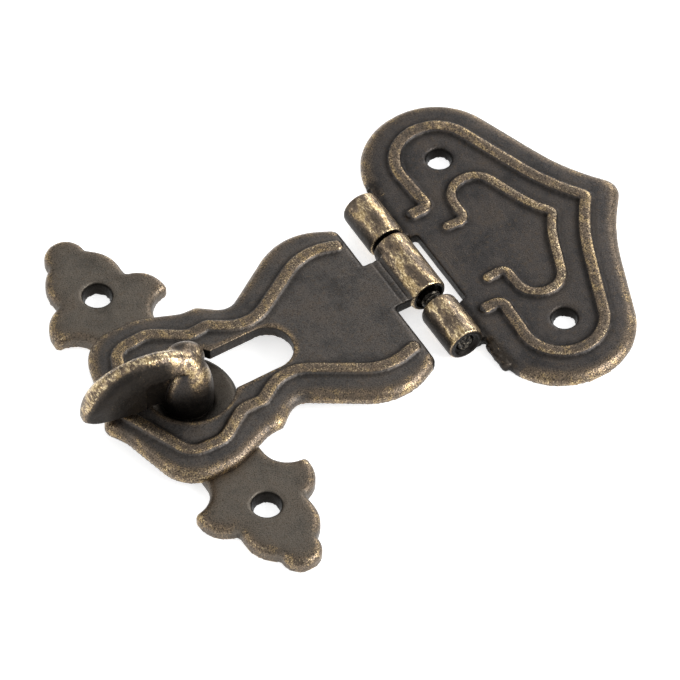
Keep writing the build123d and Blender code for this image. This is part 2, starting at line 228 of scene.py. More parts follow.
bpy.ops.mesh.primitive_cylinder_add(
    vertices=24,
    radius=SEAM_RADIUS * MM,
    depth=(SEAM_ENDS[0] - SEAM_ENDS[1]) * MM,
    location=at_mm(SEAM_X, sum(SEAM_ENDS) / 2, SEAM_Z),
    rotation=ALONG_HINGE,
)
rough_parts = [bpy.context.object]
apply_modifier(rough_parts[0], "BEVEL", width=SEAM_ROUND * MM, segments=4)
for x, y, z, radius in SEAM_LUMPS + CORNER_CRUMBS:
    place = at_mm(x, y, z)
    bpy.ops.mesh.primitive_ico_sphere_add(subdivisions=3, radius=radius * MM, location=place)
    rough_parts.append(bpy.context.object)
join_to(castings["hinge_leaf"], rough_parts)
print("joined", len(rough_parts), "parts of the seam and the corner")

# %% [markdown]
# ## Cast skins
#
# The real pieces are die-cast, so no edge on them is quite sharp and no face quite flat. Bevels on
# hundreds of edges would be slow to choose and would meet badly. A voxel remesh instead lays one even net
# of small quads over each piece, which two rounds of smoothing then soften, and a displacement by slow
# noise gives the faint unevenness of a casting. The even net also lets the wear be measured on it later.

# %% Lay an even net over each casting
LUMP_SIZE = 2.2 * MM
LUMP_HEIGHT = 0.05 * MM
SOFTENING_ROUNDS = 2


def clouds(name, size, depth):
    """Noise texture for a displacement, with blobs of about this size."""
    texture = bpy.data.textures.new(name, "CLOUDS")
    texture.noise_scale = size
    texture.noise_depth = depth
    return texture


casting_lumps = clouds("casting lumps", LUMP_SIZE, depth=1)
for node_name, casting in castings.items():
    net_size = VOXEL[node_name]
    apply_modifier(casting, "REMESH", mode="VOXEL", voxel_size=net_size, use_smooth_shade=True)
    apply_modifier(casting, "SMOOTH", factor=0.5, iterations=SOFTENING_ROUNDS)
    apply_modifier(
        casting,
        "DISPLACE",
        texture=casting_lumps,
        strength=LUMP_HEIGHT,
        mid_level=0.5,
        texture_coords="LOCAL",
    )
    print(node_name, "triangles", 2 * len(casting.data.polygons))

# %% [markdown]
# ## Torn metal
#
# In a few places the casting was broken off or left unfinished: the seam on the leaf's edge, the leaf's
# other corner by the barrel, the necks behind the outer barrels, and the pin's end in its dish. Sculpting
# them by hand couldn't be repeated by a script. So a vertex group holds each place, fading out from its
# middle, and a displacement by fine noise works in that group alone.

# %% Roughen those places
TORN_SIZE = 0.5 * MM
TORN_SPREAD = 1.4  # over 1, so that the middle of a place has its full weight
TORN = (
    ("hinge_leaf", (-11.2, -15.0), (-11.2, -19.4), 1.3, 0.42),
    ("hinge_leaf", (-11.2, 15.6), (-10.9, 17.0), 1.2, 0.8),
    ("hinge_leaf", (-11.3, -8.0), (-11.3, -14.0), 1.1, 0.45),
    ("hinge_leaf", (-11.3, 8.0), (-11.3, 14.0), 0.9, 0.2),
    ("hinge_pin", (-14.5, -13.7), (-14.5, -14.5), 0.9, 1.0),
)


def vertex_array(mesh, name):
    """Places or normals of a mesh's points, one row each."""
    values = np.empty(len(mesh.vertices) * 3)
    mesh.vertices.foreach_get(name, values)
    return values.reshape(-1, 3)


def places_of(piece):
    """Places of a piece's points, in millimetres."""
    return vertex_array(piece.data, "co") / MM


def line_distance(places, start, end):
    """Distance in plan from each point to a straight line between two places."""
    start, end = np.array(start), np.array(end)
    along = end - start
    share = np.clip((places[:, :2] - start) @ along / (along @ along), 0, 1)
    return np.linalg.norm(places[:, :2] - start - share[:, None] * along, axis=1)


def weight_near(distances, reach, spread):
    """Weight of 1 round a place that falls to 0 at the end of its reach."""
    return np.clip(spread * (1 - distances / reach), 0, 1)


def apply_there(piece, weights, kind, **settings):
    """Applies a modifier where the points' weights are over 0, and fully where they are 1."""
    group = piece.vertex_groups.new(name="there")
    for index in np.flatnonzero(weights):
        group.add([int(index)], float(weights[index]), "REPLACE")
    apply_modifier(piece, kind, vertex_group="there", **settings)
    piece.vertex_groups.remove(piece.vertex_groups["there"])
    print(piece.name, kind.lower(), "points:", int((weights > 0).sum()))


torn_noise = clouds("torn metal", TORN_SIZE, depth=2)
for node_name, start, end, reach, strength in TORN:
    casting = castings[node_name]
    apply_there(
        casting,
        weight_near(line_distance(places_of(casting), start, end), reach, TORN_SPREAD),
        "DISPLACE",
        texture=torn_noise,
        strength=strength * MM,
        mid_level=0.55,
        texture_coords="LOCAL",
    )

# %% [markdown]
# ## The knob's brow
#
# Where the wing's ridge runs into the hub, the real knob flows from one into the other without a crease.
# A strong smoothing of that place alone melts the two forms together. More smoothing of the whole knob
# would melt its wing as well.

# %% Melt the ridge into the hub
BROW = (-52.9, -2.0, 12.3)
BROW_RADIUS = 3.6
BROW_SPREAD = 1.6
BROW_ROUNDS = 30

knob = castings["turn_knob"]
from_brow = np.linalg.norm(places_of(knob) - np.array(BROW), axis=1)
brow_weights = weight_near(from_brow, BROW_RADIUS, BROW_SPREAD)
apply_there(knob, brow_weights, "SMOOTH", factor=0.5, iterations=BROW_ROUNDS)

# %% [markdown]
# ## Domed borders
#
# Outside their beads the real plates fall away to the edge in one wide curve. A bevel that wide would
# reach the beads. So each point's distance to the outer wall is measured, and its height over the plate's
# middle is pressed down the more the nearer it is. The screw holes, the keyhole and the hinge side keep
# their own edges, so the walls there are left out.

# %% Press the borders down
LEAF_HOLES = ((0.0, 16.5, 1.9), (0.0, -16.5, 1.9))
KEEPER_HOLES = ((-53.4, 19.9, 2.15), (-51.7, -23.0, 2.15))
KEYHOLE = ((-51.0, -1.55, 6.3), (-45.0, -1.55, 3.65), (-42.0, -1.55, 3.65), (-38.85, -1.55, 3.65))
HOLES = {"hinge_leaf": LEAF_HOLES, "keeper_plate": KEEPER_HOLES, "hasp_strap": KEYHOLE}
BORDER_WIDTH = {"hinge_leaf": 3.3, "hasp_strap": 3.3, "keeper_plate": 1.8}
BORDER_PRESS = {"hinge_leaf": 0.5, "hasp_strap": 0.55, "keeper_plate": 0.3}
WALL_SLOPE = 0.35  # a point whose normal rises less than this is on a wall
HOLE_WALL = 0.6  # a wall point this near a hole belongs to the hole
STRAP_HINGE_REACH = 5.6  # how far from the pin the strap's hinge side counts
LEAF_HINGE_SIDE = {"x": -8, "low_y": -21.5, "high_y": 17}


def hole_distance(places, holes):
    """Distance in plan from each point to the nearest hole's rim, negative inside it."""
    x, y = places[:, 0], places[:, 1]
    gaps = [np.hypot(x - hole_x, y - hole_y) - radius for hole_x, hole_y, radius in holes]
    return np.min(gaps, axis=0)


def outer_wall(node_name, places, normals):
    """The points on a plate's outer wall, without those on its holes and its hinge side."""
    walls = places[np.abs(normals[:, 2]) < WALL_SLOPE]
    outer = walls[hole_distance(walls, HOLES[node_name]) > HOLE_WALL]
    x, y = outer[:, 0], outer[:, 1]
    if node_name == "hasp_strap":
        outer = outer[np.abs(x - HINGE_X) > STRAP_HINGE_REACH]
    if node_name == "hinge_leaf":
        beside = (y > LEAF_HINGE_SIDE["high_y"]) | (y < LEAF_HINGE_SIDE["low_y"])
        outer = outer[beside | (x > LEAF_HINGE_SIDE["x"])]
    return outer


def move_points(piece, places):
    """Moves a piece's points to these places, in millimetres."""
    piece.data.vertices.foreach_set("co", (places * MM).ravel())
    piece.data.update()


def press_border(node_name, piece):
    """Rounds a plate's border down, in a quarter circle from the wall to the border's width."""
    places = places_of(piece)
    outer = outer_wall(node_name, places, vertex_array(piece.data, "normal"))
    flat_tree = kdtree.KDTree(len(outer))
    for index, (x, y, _) in enumerate(outer):
        flat_tree.insert((x, y, 0), index)
    flat_tree.balance()
    plate_middle = np.median(outer[:, 2])
    above = np.flatnonzero(places[:, 2] > plate_middle)
    nearest = np.array([flat_tree.find((places[i, 0], places[i, 1], 0))[2] for i in above])
    inward = np.clip(nearest / BORDER_WIDTH[node_name], 0, 1)
    press = BORDER_PRESS[node_name] * (1 - np.sqrt(1 - (1 - inward) ** 2))
    places[above, 2] -= press * (places[above, 2] - plate_middle)
    places[:, 2] = np.maximum(places[:, 2], 0)  # the backs are ground flat
    move_points(piece, places)
    middle = round(plate_middle, 2)
    print(node_name, "middle of the walls at", middle, "mm, points pressed:", int((press > 0).sum()))


for node_name in HOLES:
    press_border(node_name, castings[node_name])

# %% [markdown]
# ## Drafted holes
#
# A screw hole is cast with a taper, so that its core pulls out, and from above its wall shows all round.
# The points of each wall are drawn towards the hole's middle, most at the back, which turns the straight
# hole that is there into a tapered one without cutting it again.

# %% Taper the holes
HOLE_TAPER = 0.42
HOLE_REACH = 1.2  # how far round the hole the back follows
HOLE_MIDDLE = 0.1  # nearer than this to the middle there is no direction to move in
PLATE_TOP = {"hinge_leaf": 1.9, "keeper_plate": 2.3, "hasp_strap": 4.3}


def taper_holes(node_name, piece):
    """Narrows a plate's screw holes towards its back."""
    places = places_of(piece)
    depth = np.clip(1 - places[:, 2] / PLATE_TOP[node_name], 0, 1)
    for x, y, radius in HOLES[node_name]:
        inward = np.array((x, y)) - places[:, :2]
        length = np.linalg.norm(inward, axis=1)
        near = np.clip(1 - (length - radius) / HOLE_REACH, 0, 1) * (length > HOLE_MIDDLE)
        step = inward / np.maximum(length, HOLE_MIDDLE)[:, None]
        places[:, :2] += step * (HOLE_TAPER * depth * near)[:, None]
    move_points(piece, places)


for node_name in ("hinge_leaf", "keeper_plate"):
    taper_holes(node_name, castings[node_name])
    print(node_name, "holes narrower at the back by", 2 * HOLE_TAPER, "mm")

# %% [markdown]
# ## Scored tongue
#
# Two shallow lines cross the strap's tongue where the barrel was rolled against it. Two thin boxes could
# cut them, but with hard edges. The points of the net are let down along each line instead, in a soft
# dip.

# %% Score the tongue
SCORE_LINES = (-17.7, -18.7)
SCORE_DEPTH = 0.16
SCORE_HALF_WIDTH = 0.16
SKIN_DEPTH = 0.3


def score_tongue(piece):
    """Lets the strap's top face down along the two lines."""
    places = places_of(piece)
    on_top = places[:, 2] > PLATE_TOP["hasp_strap"] - SKIN_DEPTH
    for line_x in SCORE_LINES:
        off_line = (places[:, 0] - line_x) / SCORE_HALF_WIDTH
        places[:, 2] -= on_top * SCORE_DEPTH * np.exp(-(off_line**2))
    move_points(piece, places)


score_tongue(strap)
print("scored", len(SCORE_LINES), "lines,", SCORE_DEPTH, "mm deep")

# %% [markdown]
# ## Where hands and polish reach
#
# The dark finish stays in hollows and wears off whatever stands proud. A shader can read a mesh's
# Pointiness, but that sees no further than each point's own neighbours. So the net is smoothed in memory,
# and each point's height above the smoothed net is kept as an attribute. Little smoothing finds the foot
# of a bead, more finds bead tops, and much finds the broad borders.

# %% Measure relief on the nets
RELIEF_SCALE = {"sharp relief": 0.35, "fine relief": 0.8, "broad relief": 1.9}  # in millimetres


def store(mesh, name, values):
    """Keeps one number for each point, for the materials to read by this name."""
    mesh.attributes.new(name, "FLOAT", "POINT").data.foreach_set("value", values.astype(np.float32))


def measure_relief(piece, net_size):
    """Stores how far each point stands above the smoothed net, in millimetres, at three scales."""
    mesh = piece.data
    count = len(mesh.vertices)
    places = places_of(piece)
    normals = vertex_array(mesh, "normal")
    rounds = {name: round(2 * (scale * MM / net_size) ** 2) for name, scale in RELIEF_SCALE.items()}
    edges = np.empty(len(mesh.edges) * 2, dtype=np.int32)
    mesh.edges.foreach_get("vertices", edges)
    start, end = edges.reshape(-1, 2).T
    links = np.bincount(start, minlength=count) + np.bincount(end, minlength=count)
    smooth = places.copy()
    done = 0
    for name, wanted in rounds.items():
        for _ in range(wanted - done):
            total = np.empty_like(smooth)
            for axis in range(3):
                total[:, axis] = np.bincount(start, smooth[end, axis], count)
                total[:, axis] += np.bincount(end, smooth[start, axis], count)
            smooth = total / links[:, None]
        done = wanted
        height = np.einsum("ij,ij->i", places - smooth, normals)
        store(mesh, name, height)
        print(piece.name, name, np.round(np.percentile(height, (2, 20, 50, 80, 98)), 3))


for node_name, casting in castings.items():
    measure_relief(casting, VOXEL[node_name])

# %% [markdown]
# ## Where they don't reach
#
# Height alone doesn't say where a hand can get. Three more attributes do: exposed is 1 where wear by
# height counts, polish is how much a place is worn whatever its height, and shade_and_dirt is how much a
# place is darkened: painted shade on walls, in holes and recesses and on sides turned from the lamps, and
# darkened torn metal. They could be painted by hand as vertex colours. Here they follow from distances
# and normals, so that they fit the net whatever its size. A finger slides over a screw hole, so its rim
# stays dark, while the keyhole's rim is worn by the knob that passes through it.

# %% Wear and painted shade round the holes
KNOB_X, KNOB_Y = -51.9, -2.1
BARREL_SKIN = 2.9  # up to this far from the pin all is barrel
BARREL_CLEAR = 3.2  # from this far on none of it is
# Each pair below says where something starts and where it is full: how much a normal rises, or millimetres
# from a hole's edge.
WALL = (0.85, 0.5)
STEEP_WALL = (0.5, 0.2)
# painted shade on the walls of holes
HOLE_WALL_SHADE = (0.5, 0.2)
SCREW_RIM = (0.9, 1.3)
KEYHOLE_RIM = (0.5, 1.3)
KEYHOLE_LEAST = 0.8


def fade(values, start, end):
    """0 at start, 1 at end, straight between and level beyond."""
    return np.clip((values - start) / (end - start), 0, 1)


class Wear:
    """A casting's points, with how exposed, polished and darkened by painted shade and dirt each of them
    is.
    """

    def __init__(self, piece, holes):
        self.places = places_of(piece)
        self.normals = vertex_array(piece.data, "normal")
        self.holes = holes
        self.x, self.y, self.z = self.places.T
        self.rise = np.abs(self.normals[:, 2])
        self.wall = fade(self.rise, *WALL)
        self.from_pin = np.hypot(self.x - HINGE_X, self.z - HINGE_Z)
        self.from_knob = np.hypot(self.x - KNOB_X, self.y - KNOB_Y)
        self.on_barrel = fade(self.from_pin, BARREL_CLEAR, BARREL_SKIN)
        self.off_barrel = fade(self.from_pin, BARREL_SKIN, BARREL_CLEAR)
        self.exposed = np.ones(len(self.places))
        self.polish = np.zeros(len(self.places))
        self.shade_and_dirt = np.zeros(len(self.places))

    def add_shade_and_dirt(self, amount):
        """Makes each point at least this dark, as painted shade and dirt."""
        self.shade_and_dirt = np.maximum(self.shade_and_dirt, amount)


def screw_hole_wear(wear):
    """Rims that stay dark, and walls painted dark as the shade inside the holes."""
    rim = hole_distance(wear.places, wear.holes)
    wear.exposed = fade(rim, *SCREW_RIM)
    # Painted shade: the screw holes' walls are darkened.
    wear.shade_and_dirt = fade(rim, *HOLE_WALL_SHADE) * (0.9 * wear.wall)


def keyhole_wear(wear):
    """A worn rim, and painted shade on the wall only where it is steep."""
    rim = hole_distance(wear.places, wear.holes)
    wear.exposed = np.maximum(fade(rim, *KEYHOLE_RIM), KEYHOLE_LEAST)
    # Painted shade: the keyhole's steep walls are darkened.
    wear.shade_and_dirt = fade(rim, *HOLE_WALL_SHADE) * (0.7 * fade(wear.rise, *STEEP_WALL))


# %% [markdown]
# ## Wear and painted shade of the hinge side
#
# On the hinge side the leaf, the strap and the barrels shield each other, and their walls are painted
# dark as shade, as are the dishes in the outer barrels' ends and the hollow in the strap's barrel. The
# barrels themselves stand highest and are worn all over, apart from their ends, which are painted dark as
# shade, and from the flank turned away from the lamps, which is worn less and painted darker as shade.
# The leaf's seam is darkened where it is torn and bright along its top.

# %% Wear and painted shade on the leaf, the strap and their barrels
STRAP_MIDDLE_Y = -1.55
LEAF_SHELTER = {"x": -8.9, "low_y": -21.0, "high_y": 14.8}
LEAF_WALL_X = -9.2
HINGE_HALF_LENGTH = 14.8
DISH_Y = 13.6  # the dishes in the outer barrels' ends start here
STRAP_SHELTER_X = -20.9
STRAP_SHELTER_HALF_WIDTH = 12.0
STRAP_WALL_X = -20.6
HOLLOW_Y = -3  # the hollow in the strap's barrel lies below this
# Starts and full values again: millimetres from a line or from the pin, heights, or parts of a normal.
SEAM_SIDE = (1.1, 0.7)
CRUMB_SIDE = (1.2, 0.6)
SEAM_TOP = (0.9, 1.5)
DISH = (2.15, 2.0)
HOLLOW = (2.35, 2.2)
END_FACE = (0.6, 0.8)
END_INSIDE = (2.5, 2.3)
END_RIM = (0.3, 0.6)
BORE_EDGE = (2.0, 2.3)
# the flank turned away from the lamps, which is worn less and painted darker as shade
UNLIT_FLANK = (-0.72, -0.98)


def leaf_wear(wear):
    """Walls by the hinge and dishes painted dark as shade, darkened tears, and a seam rubbed bright."""
    x, y = wear.x, wear.y
    sheltered = (x < LEAF_SHELTER["x"]) & (y < LEAF_SHELTER["high_y"]) & (y > LEAF_SHELTER["low_y"])
    wear.exposed = np.where(sheltered, 0.0, wear.exposed)
    by_hinge = (x < LEAF_WALL_X) * (np.abs(y) < HINGE_HALF_LENGTH)
    # Painted shade: the walls by the hinge are darkened.
    wear.add_shade_and_dirt(0.95 * wear.wall * by_hinge * wear.off_barrel)
    seam = fade(line_distance(wear.places, (SEAM_X, SEAM_ENDS[0]), (SEAM_X, SEAM_ENDS[1])), *SEAM_SIDE)
    crumbs = fade(line_distance(wear.places, CORNER_CRUMBS[0][:2], CORNER_CRUMBS[2][:2]), *CRUMB_SIDE)
    seam = np.maximum(seam, crumbs) * fade(wear.z, *SEAM_TOP)
    # The torn places are darkened.
    for place_name, start, end, reach, _ in TORN:
        if place_name == "hinge_leaf":
            torn = fade(line_distance(wear.places, start, end), reach + 0.4, reach - 0.5)
            wear.add_shade_and_dirt(0.7 * torn * wear.off_barrel * (1 - 0.25 * seam))
    # Painted shade: the dishes in the outer barrels' ends are darkened.
    wear.add_shade_and_dirt(0.9 * fade(wear.from_pin, *DISH) * (np.abs(y) > DISH_Y))
    wear.polish = 0.75 * seam


def strap_wear(wear):
    """A hardly worn hinge side, with walls and a hollow painted dark as shade."""
    off_middle = np.abs(wear.y - STRAP_MIDDLE_Y)
    sheltered = (wear.x > STRAP_SHELTER_X) & (off_middle < STRAP_SHELTER_HALF_WIDTH)
    wear.exposed = np.where(sheltered, 0.1, wear.exposed)
    # Painted shade: the strap's walls by the hinge and the hollow in its barrel are darkened.
    wear.add_shade_and_dirt(0.95 * wear.wall * (wear.x > STRAP_WALL_X) * wear.off_barrel)
    wear.add_shade_and_dirt(0.95 * fade(wear.from_pin, *HOLLOW) * (wear.y < HOLLOW_Y))


def barrel_wear(wear):
    """Barrels rubbed all over, most on their rims, with ends painted dark as shade, and a flank turned
    from the lamps that is worn less and painted darker as shade.
    """
    towards_end = np.abs(wear.normals[:, 1])
    end_face = fade(towards_end, *END_FACE) * fade(wear.from_pin, *END_INSIDE)
    rim = fade(towards_end, *END_RIM) * wear.on_barrel
    skin = wear.on_barrel * fade(wear.from_pin, *BORE_EDGE) * (1 - end_face) * (1 + 0.4 * rim)
    # The flank turned away from the lamps is worn less and painted darker as shade.
    unlit_flank = fade(wear.normals[:, 0], *UNLIT_FLANK) * wear.on_barrel
    wear.polish = np.maximum(skin, wear.polish) * (1 - 0.5 * unlit_flank)
    # Painted shade: the barrels' ends and the flank turned from the lamps are darkened.
    wear.add_shade_and_dirt(np.maximum(0.85 * end_face, 0.6 * unlit_flank))


# %% [markdown]
# ## Wear and painted shade of the keeper and the knob
#
# The keeper's middle lies deep in the keyhole, where only the knob's hub touches it, and it is painted
# darker there as shade. On the knob, fingers wear the crest of the wing, and the side of the hub that a
# thumb pushes, which faces the key lamp, is polished as wear and as a painted highlight. The knob's foot
# and the near face of its wing are painted dark as shade.

# %% Wear and painted shade on the keeper, the knob and the pin, and all of it stored
WING_ACROSS = np.array((-0.156, -0.988, 0.0))  # level, square to the wing, towards its near face, which is painted dark as shade
# the hub's side that a thumb pushes, towards the key lamp: its polish is wear and partly a painted
# highlight
THUMB_AND_LAMP_SIDE = np.array((0.85, -0.52, 0.10))
# Starts and full values again: millimetres from the knob's axis or above the back, or parts of a normal.
DISC_WEAR = (8.4, 9.6)
# painted shade on the keeper's disc deep in the keyhole
DISC_SHADE = (8.4, 7.4)
CREST_TURN = (0.78, 0.52)
CREST_RISE = (0.0, 0.35)
WING_START = (0.6, 1.4)
WING_CLEAR = (3.4, 4.6)
HUB_SIDE = (2.4, 1.8)
THUMB_AND_LAMP_TURN = (0.05, 0.32)
THUMB_AND_LAMP_HEIGHT = (5.6, 8.0)
# painted shade at the knob's foot and on the near face of its wing
FOOT_HEIGHT = (5.6, 3.0)
FACE_TURN = (0.55, 0.85)
FACE_START = (2.5, 4.0)


def keeper_wear(wear):
    """A disc in the keyhole that is painted darker as shade and hardly worn."""
    wear.exposed *= fade(wear.from_knob, *DISC_WEAR)
    # Painted shade: the keeper's disc deep in the keyhole is darkened.
    wear.add_shade_and_dirt(0.5 * fade(wear.from_knob, *DISC_SHADE))


def knob_wear(wear):
    """A polished crest, a thumb side towards the key lamp polished as wear and as a painted highlight, and
    a foot and wing face painted dark as shade.
    """
    from_x, from_y = wear.x - KNOB_X, wear.y - KNOB_Y
    near_side = wear.normals @ WING_ACROSS
    along = from_x * WING_ACROSS[1] - from_y * WING_ACROSS[0]
    across = from_x * WING_ACROSS[0] + from_y * WING_ACROSS[1]
    crest = fade(near_side, *CREST_TURN) * fade(wear.normals[:, 2], *CREST_RISE)
    crest *= fade(along, *WING_START) * np.maximum(fade(along, *WING_CLEAR), fade(across, *HUB_SIDE))
    # The side towards the key lamp is polished, as wear and partly as a painted highlight.
    thumb_and_lamp_side = fade(wear.normals @ THUMB_AND_LAMP_SIDE, *THUMB_AND_LAMP_TURN) * fade(wear.z, *THUMB_AND_LAMP_HEIGHT)
    wear.polish = np.maximum(1.2 * crest, thumb_and_lamp_side)
    # Painted shade: the knob's foot and the near face of its wing are darkened.
    wear.add_shade_and_dirt(0.85 * fade(wear.z, *FOOT_HEIGHT))
    wear.add_shade_and_dirt(0.75 * fade(near_side, *FACE_TURN) * fade(wear.from_knob, *FACE_START))


def pin_wear(wear):
    """Evenly dirty."""
    wear.add_shade_and_dirt(0.5)


WEAR_STEPS = {
    "hinge_leaf": (screw_hole_wear, leaf_wear, barrel_wear),
    "hasp_strap": (keyhole_wear, strap_wear, barrel_wear),
    "keeper_plate": (screw_hole_wear, keeper_wear),
    "turn_knob": (knob_wear,),
    "hinge_pin": (pin_wear,),
}
for node_name, casting in castings.items():
    wear = Wear(casting, HOLES.get(node_name))
    for wear_step in WEAR_STEPS[node_name]:
        wear_step(wear)
    for name, values in (("exposed", wear.exposed), ("polish", wear.polish), ("shade_and_dirt", wear.shade_and_dirt)):
        store(casting.data, name, values)
        print(casting.name, name, "mean", round(float(values.mean()), 3))

# %% [markdown]
# ## Node helpers
#
# A material is a tree of nodes, and each node in a script takes several lines to add, set and link. These
# short ways to add one make a material read like a recipe. Every pattern reads Object coordinates, so it
# stays on the piece as the piece turns.

# %% Short ways to add nodes


class Nodes:
    """Short ways to add the nodes of one material."""

    def __init__(self, name):
        self.material = bpy.data.materials.new(name)
        self.material.use_nodes = True
        self.tree = self.material.node_tree
        self.shader = self.tree.nodes["Principled BSDF"]

    def add(self, kind, **settings):
        node = self.tree.nodes.new(kind)
        for name, value in settings.items():
            setattr(node, name, value)
        return node

    def put(self, value, socket):
        """Links an output, or sets a plain value."""
        if isinstance(value, bpy.types.NodeSocket):
            self.tree.links.new(value, socket)
        else:
            socket.default_value = value

    def noise(self, size, detail=3.0, roughness=0.6, stretch=None):
        """Noise with blobs about this many millimetres wide, and a scale for each axis to stretch it."""
        node = self.add("ShaderNodeTexNoise")
        place = self.add("ShaderNodeTexCoord").outputs["Object"]
        if stretch is not None:
            mapping = self.add("ShaderNodeMapping")
            self.put(place, mapping.inputs["Vector"])
            mapping.inputs["Scale"].default_value = stretch
            place = mapping.outputs["Vector"]
        self.put(place, node.inputs["Vector"])
        node.inputs["Scale"].default_value = 1 / (size * MM)
        node.inputs["Detail"].default_value = detail
        node.inputs["Roughness"].default_value = roughness
        return node.outputs["Fac"]

    def attribute(self, name):
        """A number that was stored for each point of the piece."""
        return self.add("ShaderNodeAttribute", attribute_name=name).outputs["Fac"]

    def math(self, operation, first, second):
        node = self.add("ShaderNodeMath", operation=operation)
        self.put(first, node.inputs[0])
        self.put(second, node.inputs[1])
        return node.outputs[0]

    def ramp(self, value, low, high, low_to=0.0, high_to=1.0):
        """Straight change from low_to to high_to as value goes from low to high."""
        node = self.add("ShaderNodeMapRange")
        self.put(value, node.inputs["Value"])
        limits = {"From Min": low, "From Max": high, "To Min": low_to, "To Max": high_to}
        for name, number in limits.items():
            node.inputs[name].default_value = number
        return node.outputs["Result"]

    def mix(self, share, first, second):
        """Colour mix: first where share is 0, second where it is 1."""
        node = self.add("ShaderNodeMix", data_type="RGBA")
        self.put(share, node.inputs["Factor"])
        self.put(first, node.inputs["A"])
        self.put(second, node.inputs["B"])
        return node.outputs["Result"]

    def bump(self, height, distance, strength, under=None):
        """Normal tilted by a height, over another bump if one is given. The distance is in millimetres."""
        node = self.add("ShaderNodeBump")
        self.put(height, node.inputs["Height"])
        node.inputs["Distance"].default_value = distance * MM
        node.inputs["Strength"].default_value = strength
        if under is not None:
            self.put(under, node.inputs["Normal"])
        return node.outputs["Normal"]


# %% [markdown]
# ## Aged bronze
#
# The dark patina and the bare bronze are both metal, so one metallic shader serves, in which only colour,
# roughness and bump change. A picture of worn metal could be wrapped round the pieces, but it wouldn't
# know where their edges are. Here a mask says how far the patina is worn off. It comes from the three
# reliefs and from the exposure, the polish and the painted shade and dirt, and noise breaks it up: fine
# specks where a rough casting's high points are polished, drawn out into short scratches where hands
# rub. Where shade is painted, the patina is kept.

# %% Find the worn places
RUB_STRETCH = (1, 0.4, 1)  # hands rub along the barrels
GRAIN_SIZE = 0.6
PATCH_SIZE = 4.0
STREAK_SIZE = 1.3
SPECKLE_SIZE = 0.19
SCRATCH_SIZE = 0.3


class Bronze(Nodes):
    """Nodes of one bronze, with the attributes and noises that all its parts read."""

    def __init__(self, name):
        super().__init__(name)
        self.sharp = self.attribute("sharp relief")
        self.fine = self.attribute("fine relief")
        self.broad = self.attribute("broad relief")
        self.exposed = self.attribute("exposed")
        self.polish = self.attribute("polish")
        # painted shade and dirt, stored for each point
        self.shade_and_dirt = self.attribute("shade_and_dirt")
        self.grain = self.noise(GRAIN_SIZE, detail=3.0)
        self.patches = self.noise(PATCH_SIZE, detail=3.0)
        self.streaks = self.noise(STREAK_SIZE, detail=4.0, roughness=0.6, stretch=RUB_STRETCH)
        self.speckle = self.noise(SPECKLE_SIZE, detail=2.0, roughness=0.7)
        scratches = self.noise(SCRATCH_SIZE, detail=3.0, roughness=0.7, stretch=RUB_STRETCH)
        to_scratch = self.math("MULTIPLY", self.math("SUBTRACT", scratches, self.speckle), 0.6)
        self.fleck = self.math("ADD", self.speckle, self.math("MULTIPLY", to_scratch, self.polish))


def worn_share(n, wear_start, wear_end):
    """How far the patina is worn off: 0 in hollows, about 1 where metal stands proud or is handled."""
    worn = n.math("MULTIPLY", n.ramp(n.fine, wear_start, wear_end), 0.8)
    worn = n.math("MAXIMUM", worn, n.ramp(n.broad, 0.15, 0.9, 0.0, 0.62))
    worn = n.math("MULTIPLY", worn, n.exposed)
    edges = n.math("MULTIPLY", n.ramp(n.sharp, 0.02, 0.07, 0.0, 0.8), n.exposed)
    worn = n.math("MAXIMUM", worn, edges)
    handled = n.math("MULTIPLY", n.polish, n.ramp(n.streaks, 0.36, 0.56, 0.68, 1.02))
    worn = n.math("MAXIMUM", worn, handled)
    worn = n.math("MULTIPLY", worn, n.ramp(n.patches, 0.3, 0.7, 0.85, 1.1))
    # Where painted shade and dirt darken a place, its patina is kept.
    return n.math("MULTIPLY", worn, n.math("SUBTRACT", 1.0, n.shade_and_dirt))


# %% [markdown]
# ## Patina and bare metal
#
# The patina isn't one colour: broad patches are browner or blacker, its high specks are rubbed lighter,
# and the pits and hollows are nearly black, the hollows partly as patina and partly as painted shade.
# Every place that shade_and_dirt darkens turns nearly black too, mostly as painted shade. The bare metal
# runs from tarnished to golden in streaks, with bright specks where it is rubbed most. Each of them is
# mixed over the last by its own mask, like thin coats of paint.

# %% Mix the bronze
PATINA = (0.067, 0.063, 0.062, 1)
# The strap's patina is painted lighter than the leaf's: painted light that evens out the lamps lighting
# the leaf more.
STRAP_PATINA_PAINTED_LIGHTER = (0.099, 0.092, 0.087, 1)
KEEPER_PATINA = (0.150, 0.133, 0.112, 1)
BROWN = (0.110, 0.083, 0.060, 1)
RUBBED = (0.150, 0.117, 0.086, 1)
# nearly black: the patina's pits, dark patches and hollows, and painted shade
CREVICE_AND_SHADE = (0.010, 0.009, 0.008, 1)
TARNISHED = (0.140, 0.109, 0.082, 1)
BRONZE = (0.205, 0.152, 0.107, 1)
GOLD = (0.365, 0.262, 0.134, 1)
BRIGHT_BRONZE = (0.95, 0.77, 0.47, 1)
UNEVEN_SIZE = 1.1
# Heights of fine relief, in millimetres, at which a casting's wear starts and is full
PLATE_WEAR = (0.03, 0.15)
KEEPER_WEAR = (0.06, 0.24)
KNOB_WEAR = (0.17, 0.45)


